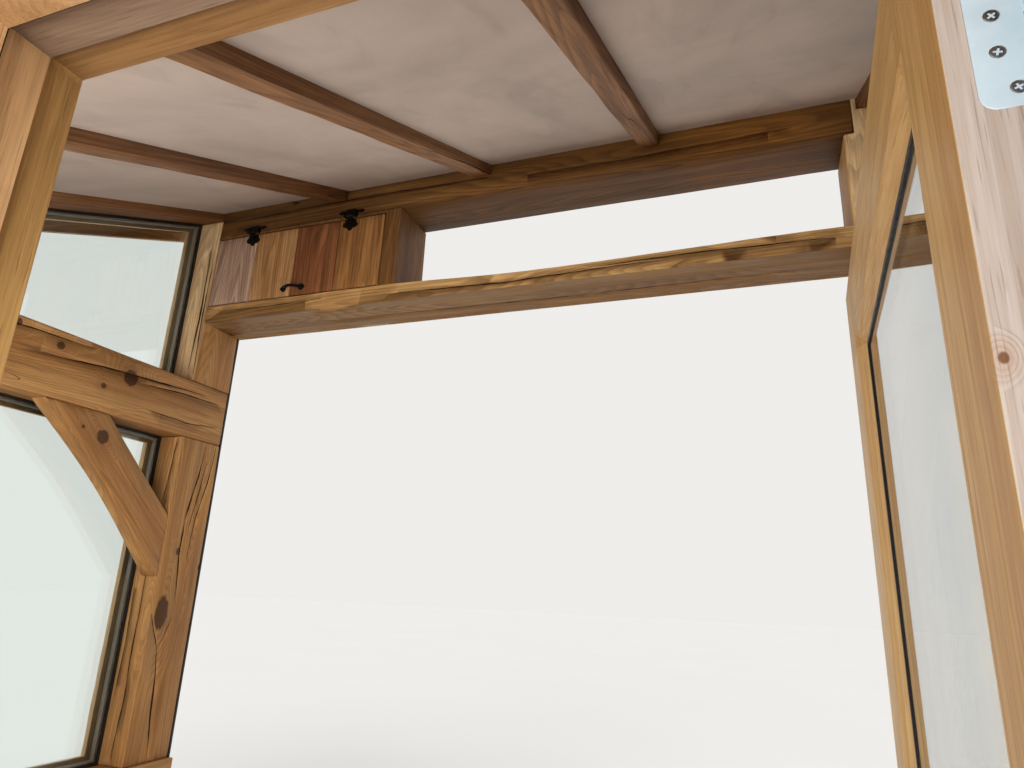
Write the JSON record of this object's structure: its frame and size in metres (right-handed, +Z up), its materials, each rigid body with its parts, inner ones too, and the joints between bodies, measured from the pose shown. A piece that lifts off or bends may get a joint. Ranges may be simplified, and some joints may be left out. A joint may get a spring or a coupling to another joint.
{
  "type": "porch canopy",
  "caption": "Oak-framed lean-to porch on dwarf brick walls, with glazed sides, an inward-opening glazed door, exposed rafters under a tiled roof and a flap cupboard on the house side.",
  "frame": {"origin": "on the ground, under the middle of the porch's bounding box", "axes": "+X along the house wall, to the right as seen from the front; +Y into the house; +Z up"},
  "size_m": [2.7, 1.873, 3.1784],
  "materials": {
    "frame_oak": "oiled rough-sawn oak",
    "joinery_oak": "oiled planed oak",
    "cupboard_oak": "oiled oak boards",
    "deck_wood": "plain sawn boards",
    "brickwork": "weathered brick",
    "plaster": "bare plaster",
    "insulation": "insulation board",
    "clay_tile": "plain clay tile",
    "lead": "dull lead sheet",
    "glass": "clear sealed units",
    "gasket_rubber": "matt black",
    "stainless": "satin",
    "black_iron": "black wax"
  },
  "bodies": {
    "porch": {"dwarf_wall_left": "brickwork", "dwarf_wall_right": "brickwork", "dwarf_wall_front": "brickwork", "sole_plates": "frame_oak", "wall_post_left": "frame_oak", "wall_post_right": "frame_oak", "corner_posts": "frame_oak", "upper_studs": "frame_oak", "side_beam_left": "frame_oak", "side_beam_right": "frame_oak", "front_beam": "frame_oak", "tie_beam": "frame_oak", "shelf_beam": "frame_oak", "braces_left": "frame_oak", "braces_right": "frame_oak", "braces_front": "frame_oak", "rafters": "frame_oak", "end_rafters": "frame_oak", "ceiling": "plaster", "insulation": "insulation", "roof_deck": "deck_wood", "roof_tiles": "clay_tile", "roof_boards": "frame_oak", "flashing": "lead", "glass_left": "glass", "glass_right": "glass", "glass_front": "glass", "gaskets": "gasket_rubber", "beads": "joinery_oak", "door_frame": "joinery_oak", "door_inner_frame": "frame_oak", "door_seal": "gasket_rubber", "door_threshold": "joinery_oak", "hinges_frame": "stainless", "cupboard_case": "cupboard_oak", "flap_hinge_bars": "black_iron"},
    "door": {"door_leaf": "joinery_oak", "door_glass": "glass", "door_gasket": "gasket_rubber", "door_hinges": "stainless", "door_handles": "stainless"},
    "flap": {"cupboard_flap": "cupboard_oak", "flap_hinge_tails": "black_iron", "flap_pull": "black_iron"}
  },
  "joints": [
    {"name": "door_swing", "type": "hinge", "parent": "porch", "child": "door", "pos_m": [0.9415, -0.6045, 1], "axis": [0, 0, 1], "range_deg": [0, 92.8]},
    {"name": "flap_lift", "type": "hinge", "parent": "porch", "child": "flap", "pos_m": [-0.68, 0.746, 2.701], "axis": [-1, 0, 0], "range_deg": [0, 70]}
  ]
}
